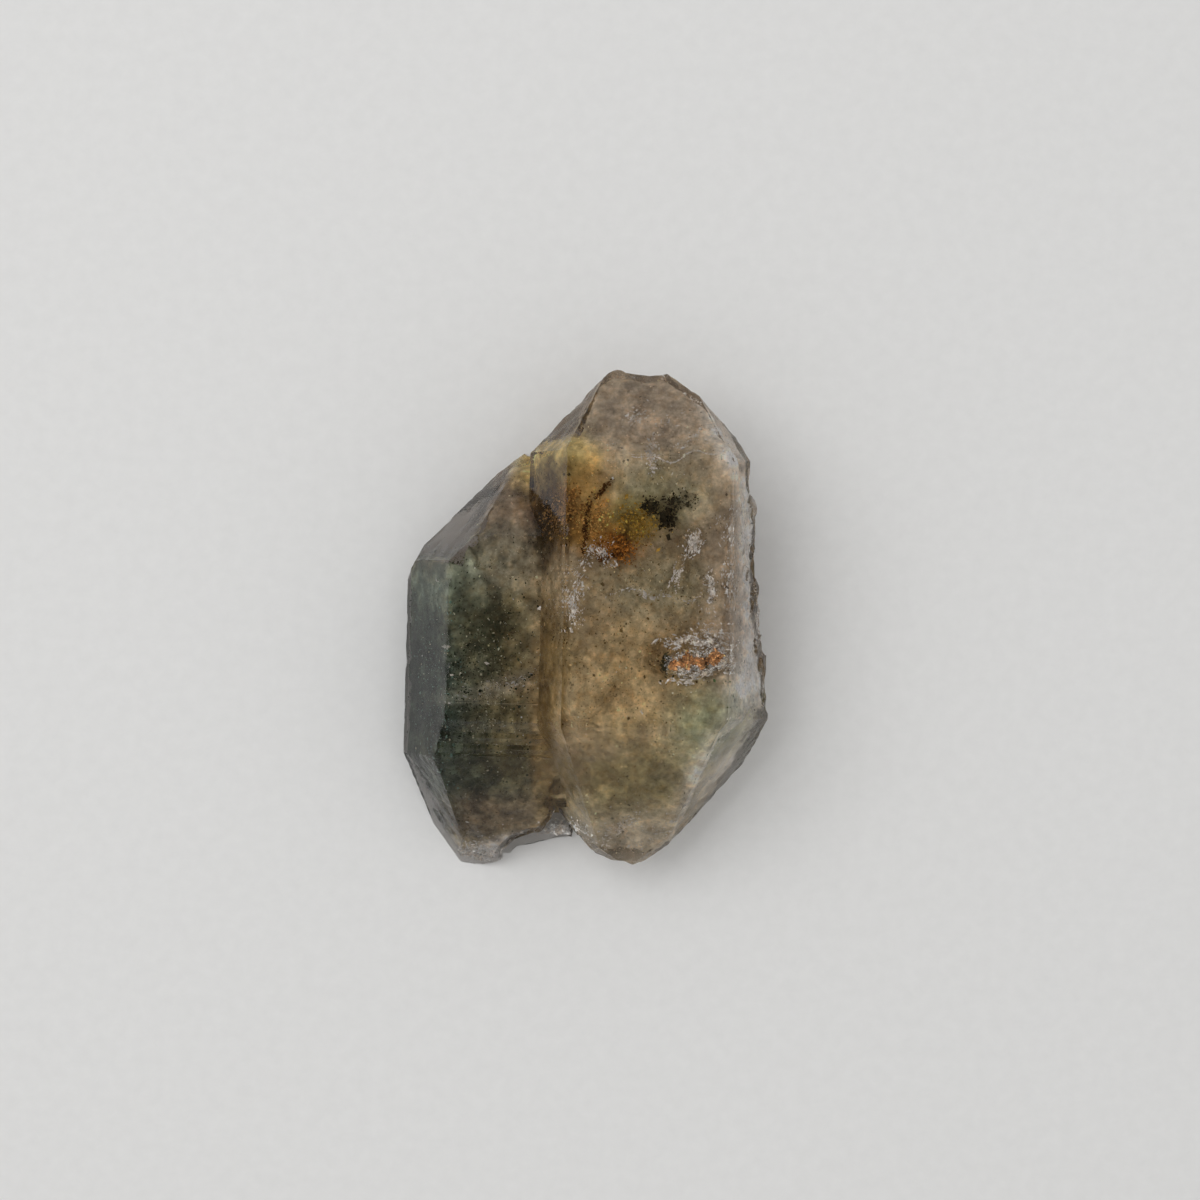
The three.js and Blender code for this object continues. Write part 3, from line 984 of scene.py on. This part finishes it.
def milky_veils(depth, chance):
    """Clouds of small bright fracture flakes, each lying along its veil."""
    middles, radii, colours, ways = [], [], [], []
    for start_u, start_v, end_u, end_v, width, down, count, size, white in VEILS.values():
        count = round(VEIL_CROWD * count)
        way = math.atan2(start_v - end_v, end_u - start_u)
        for u, v in zip(*along_veil(start_u, start_v, end_u, end_v, width, count, chance)):
            hit = surface_seen(depth, u, v)
            if hit is None:
                continue
            middles.append((hit.x, hit.y, hit.z - VEIL_DEPTH * down - 0.25 * abs(chance.normal())))
            radii.append(VEIL_SIZE * size * math.exp(chance.normal(0, 0.55)))
            colours.append(MILK * (0.5 + 0.5 * white * chance.uniform(0.6, 1.0)))
            ways.append(way)
    middles, radii, colours, ways = (np.array(values) for values in (middles, radii, colours, ways))
    clear = depth.at(middles) > LEAST_VEIL_DEPTH
    turns = turned_along(ways[clear], VEIL_SPREAD, chance)
    # The ledge and chip flakes in this mesh are painted light.
    material = garden_material("milky_quartz_and_painted_light", speck_share=0.0, roughness=0.4, mirror=0.9, gloss=0.5)
    return grains(
        "milky_veils", middles[clear], radii[clear], 0.25, colours[clear], material,
        chance, turns, length=1.8,
    )


# Clumps of grains, in photo pixels: middle, half width, half height, turn, depth in mm, how many
# grains, grain size in mm and display colour
CLUMPS = {
    "black clump": (668, 516, 9, 15, 10, 0.7, 230, 0.10, (28, 24, 16)),
    "black clump left": (652, 506, 6, 8, 0, 0.6, 240, 0.09, (30, 27, 18)),
    "black crumbs": (690, 500, 20, 8, 0, 0.7, 240, 0.07, (38, 36, 26)),
    "orange dust": (592, 520, 16, 26, 15, 0.7, 900, 0.07, (142, 98, 50)),
    "rust dust": (618, 548, 18, 12, 25, 0.6, 500, 0.08, (104, 62, 24)),
    "rust left": (566, 510, 16, 24, 30, 0.6, 600, 0.08, (92, 64, 32)),
    "mustard dust": (636, 520, 20, 18, 0, 0.7, 700, 0.07, (116, 88, 36)),
    "hollow dark": (667, 664, 5, 9, 0, 0.4, 240, 0.09, (36, 34, 22)),
    "green flecks": (705, 710, 30, 24, -20, 0.6, 160, 0.08, (44, 58, 36)),
    "dark dot": (644, 506, 3, 3, 0, 0.5, 60, 0.09, (24, 22, 14)),
    # The upper and left arcs are partly the ring's rust stain and partly painted shade on the walls of its
    # pit.
    "upper arc rust and shade": (604, 488, 13, 2.5, -50, 0.6, 240, 0.07, (48, 30, 12)),
    "left arc rust and shade": (586, 526, 2.5, 28, 6, 0.6, 300, 0.07, (46, 30, 12)),
    "lower arc": (612, 556, 16, 2.5, -15, 0.6, 240, 0.07, (56, 34, 14)),
    "short crumbs": (470, 690, 60, 110, 0, 0.4, 2400, 0.05, (24, 28, 20)),
    "short pale crumbs": (485, 680, 60, 110, 0, 0.45, 700, 0.045, (126, 122, 100)),
    "short teal crumbs": (436, 690, 22, 110, 0, 0.5, 700, 0.06, (50, 66, 60)),
    "long crumbs": (640, 640, 90, 140, 0, 0.5, 1300, 0.045, (66, 54, 34)),
    # The ledge and chip grains are painted light: pale matter that brightens the shaded floor seen through
    # them.
    "ledge painted light": (564, 832, 17, 9, 6, 0.09, 2600, 0.055, (205, 192, 180)),
    "chip painted light": (472, 856, 24, 11, -10, 0.2, 1300, 0.06, (196, 184, 172)),
}


LEAST_CLUMP_DEPTH = 0.05
CLUMP_SPREAD = 0.55


def mineral_clumps(depth, chance):
    """Denser clumps and crumbs, painted shade on the rim of a stained pit, and pale grains that paint light
    into the shaded ledge and chip.
    """
    middles, radii, colours = [], [], []
    for mid_u, mid_v, wide, high, turn, down, count, size, colour in CLUMPS.values():
        c, s = math.cos(math.radians(turn)), math.sin(math.radians(turn))
        a = chance.normal(0, CLUMP_SPREAD, count) * wide
        b = chance.normal(0, CLUMP_SPREAD, count) * high
        shade = under_quartz(colour)
        for u, v in zip(mid_u + a * c - b * s, mid_v + a * s + b * c):
            hit = surface_seen(depth, u, v)
            if hit is None:
                continue
            middles.append((hit.x, hit.y, hit.z - down * (1 + 0.65 * abs(chance.normal()))))
            radii.append(size * math.exp(chance.normal(0, 0.45)))
            colours.append(shade * math.exp(chance.normal(0, 0.35)))
    middles, radii, colours = np.array(middles), np.array(radii), np.clip(np.array(colours), 0, PALEST)
    clear = depth.at(middles) > LEAST_CLUMP_DEPTH
    # These grains include painted light in the ledge and chip, and painted shade on the ring's rim.
    material = garden_material("mineral_dust_light_and_shade", speck_share=0.3)
    return grains(
        "mineral_clumps", middles[clear], radii[clear], 0.5, colours[clear], material,
        chance,
    )


# The open hollow in the front face, in photo pixels: middle, half width, half height, turn in degrees
HOLLOW = (698, 662, 36, 15, -4)
HOLLOW_PLACES = 9000
FRONT_FACE_HEIGHT = 12.4
CLAY = (130, 94, 60)
CLAY_SIZE = 0.09
MOST_CLAY = 1500
RIM = (205, 198, 188)
RIM_SIZE = 0.042
MOST_RIM = 2200
RIM_SHARE = 0.35


def on_clay_vein(a, b, wide, chance):
    """Whether a place in the hollow, in pixels off its middle, is on the uneven vein of clay."""
    vein = 1.6 * math.sin(0.19 * a + 0.6) - 0.07 * a - 1.0
    taper = math.sqrt(max(0.0, 1 - (a / (0.82 * wide)) ** 2))
    thick = 6.5 * taper * (0.75 + 0.35 * math.sin(0.43 * a))
    return abs(b - vein) < thick * (1 + 0.35 * chance.normal())


def hollow_places(depth, chance):
    """Places of clay grains on the hollow's floor, and of splinters on and under its rim."""
    mid_u, mid_v, wide, high, turn = HOLLOW
    c, s = math.cos(math.radians(turn)), math.sin(math.radians(turn))
    clay, rim = [], []
    for _ in range(HOLLOW_PLACES):
        a, b = chance.uniform(-1, 1) * wide, chance.uniform(-1, 1) * high
        x, y, _ = spot(mid_u + a * c - b * s, mid_v + a * s + b * c, FRONT_FACE_HEIGHT)
        top = surface_height(depth, x, y)
        sunk = FRONT_FACE_HEIGHT - top
        ragged = 0.45 * math.sin(0.31 * a + 2.0) * math.sin(0.73 * a) + 0.25 * chance.normal()
        far = math.hypot(a / wide, b / high) + 0.5 * ragged
        if sunk > 0.1 and on_clay_vein(a, b, wide, chance):
            clay.append((x, y, top + 0.1 * chance.random() ** 2))
        elif sunk > 0.03 and chance.random() < RIM_SHARE:
            rim.append((x, y, top - 0.02))
        elif sunk < 0.02 and far < 0.75 and chance.random() < RIM_SHARE:
            rim.append((x, y, top - 0.06 - 0.3 * chance.random()))
    return np.array(clay)[:MOST_CLAY], np.array(rim)[:MOST_RIM]


def hollow_fill(depth, chance):
    """Rusty clay on the hollow's floor, and splinters of milky quartz along its rim."""
    clay, rim = hollow_places(depth, chance)
    for name, places, colour, size, slot, speck_share in (
        ("hollow_clay", clay, CLAY, CLAY_SIZE, "mineral_inclusions", 0.8),
        ("hollow_rim", rim, RIM, RIM_SIZE, "milky_veils", 0.0),
    ):
        tone = np.exp(chance.normal(0, 0.6, len(places)))[:, None]
        colours = np.clip(linear(colour) / LIGHT_INSIDE * tone, 0, PALEST)
        radii = size * np.exp(chance.normal(0, 0.35, len(places)))
        material = garden_material(name + "_matter", speck_share, roughness=0.7, gloss=0.5)
        grains(name, places, radii, 0.6, colours, material, chance)


# Camera, floor and light

# The floor is a hair below the underside, so that it shows through the clear ends.
FLOOR_GAP = 0.02
FLOOR_HALF = 2400.0
SENSOR_WIDTH = 36.0


def place_camera():
    """The camera straight above, with its turn about the plumb line."""
    data = bpy.data.cameras.new("camera")
    data.sensor_fit = "HORIZONTAL"
    data.sensor_width = SENSOR_WIDTH
    data.lens = SENSOR_WIDTH / 2 / math.tan(FIELD_OF_VIEW / 2)
    data.clip_start = 0.01
    data.clip_end = 5.0
    camera = placed("camera", data)
    camera.location = Vector(CAMERA_AT) * MM
    camera.rotation_euler = (0, 0, CAMERA_TURN)
    bpy.context.scene.camera = camera


def floor():
    """A pale level board far wider than the view."""
    sides = ((-1, -1), (1, -1), (1, 1), (-1, 1))
    points = np.array([[x * FLOOR_HALF, y * FLOOR_HALF, -FLOOR_GAP] for x, y in sides])
    board = mesh_object("floor", points, np.array([[0, 1, 2, 3]]), smooth_faces=False)
    board.data.materials.append(floor_material())


# The room's tone by height, from 0 at the horizon to 1 overhead, where the dark camera is
HORIZON_TONE = (0.6, 0.6, 0.6, 1)
ROOM_TONES = ((0.35, 0.9), (0.7, 1.05), (0.95, 1.05), (0.985, 0.08))
ROOM_STRENGTH = 0.68

# The softbox: place and size in metres, and power in watts
SOFTBOX_AT = (-0.28, 0.2, 0.5)
SOFTBOX_SIZE = (0.5, 0.4)
SOFTBOX_POWER = 1.3


def pale_room():
    """A room that is brighter above than at the horizon, with a dark patch overhead."""
    world = bpy.data.worlds.new("soft_room")
    bpy.context.scene.world = world
    world.use_nodes = True
    nodes, links = world.node_tree.nodes, world.node_tree.links
    way = node(nodes, "ShaderNodeTexCoord").outputs["Generated"]
    split = node(nodes, "ShaderNodeSeparateXYZ")
    links.new(way, split.inputs[0])
    ramp = node(nodes, "ShaderNodeValToRGB")
    links.new(split.outputs["Z"], ramp.inputs[0])
    tones = ramp.color_ramp.elements
    tones.remove(tones[1])
    tones[0].position = 0.0
    tones[0].color = HORIZON_TONE
    for height, tone in ROOM_TONES:
        tones.new(height).color = (tone, tone * 0.995, tone * 0.985, 1)
    links.new(ramp.outputs[0], nodes["Background"].inputs["Color"])
    nodes["Background"].inputs["Strength"].default_value = ROOM_STRENGTH


def softbox():
    """One large soft light from the upper left."""
    data = bpy.data.lights.new("softbox", "AREA")
    data.shape = "RECTANGLE"
    data.size, data.size_y = SOFTBOX_SIZE
    data.energy = SOFTBOX_POWER
    light = placed("softbox", data)
    light.location = SOFTBOX_AT
    light.rotation_euler = (-light.location).to_track_quat("-Z", "Y").to_euler()


bpy.context.scene.view_settings.view_transform = "Standard"
place_camera()
floor()
pale_room()
softbox()
cad_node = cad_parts[NODE]
depth_below = Depth(cad_node)
crystal_body(cad_node)
chance_stream = np.random.default_rng(20)
garden_mass = garden_body(depth_below)
moss_flakes(garden_mass, depth_below, chance_stream)
mineral_clumps(depth_below, chance_stream)
milky_veils(depth_below, chance_stream)
hollow_fill(depth_below, chance_stream)
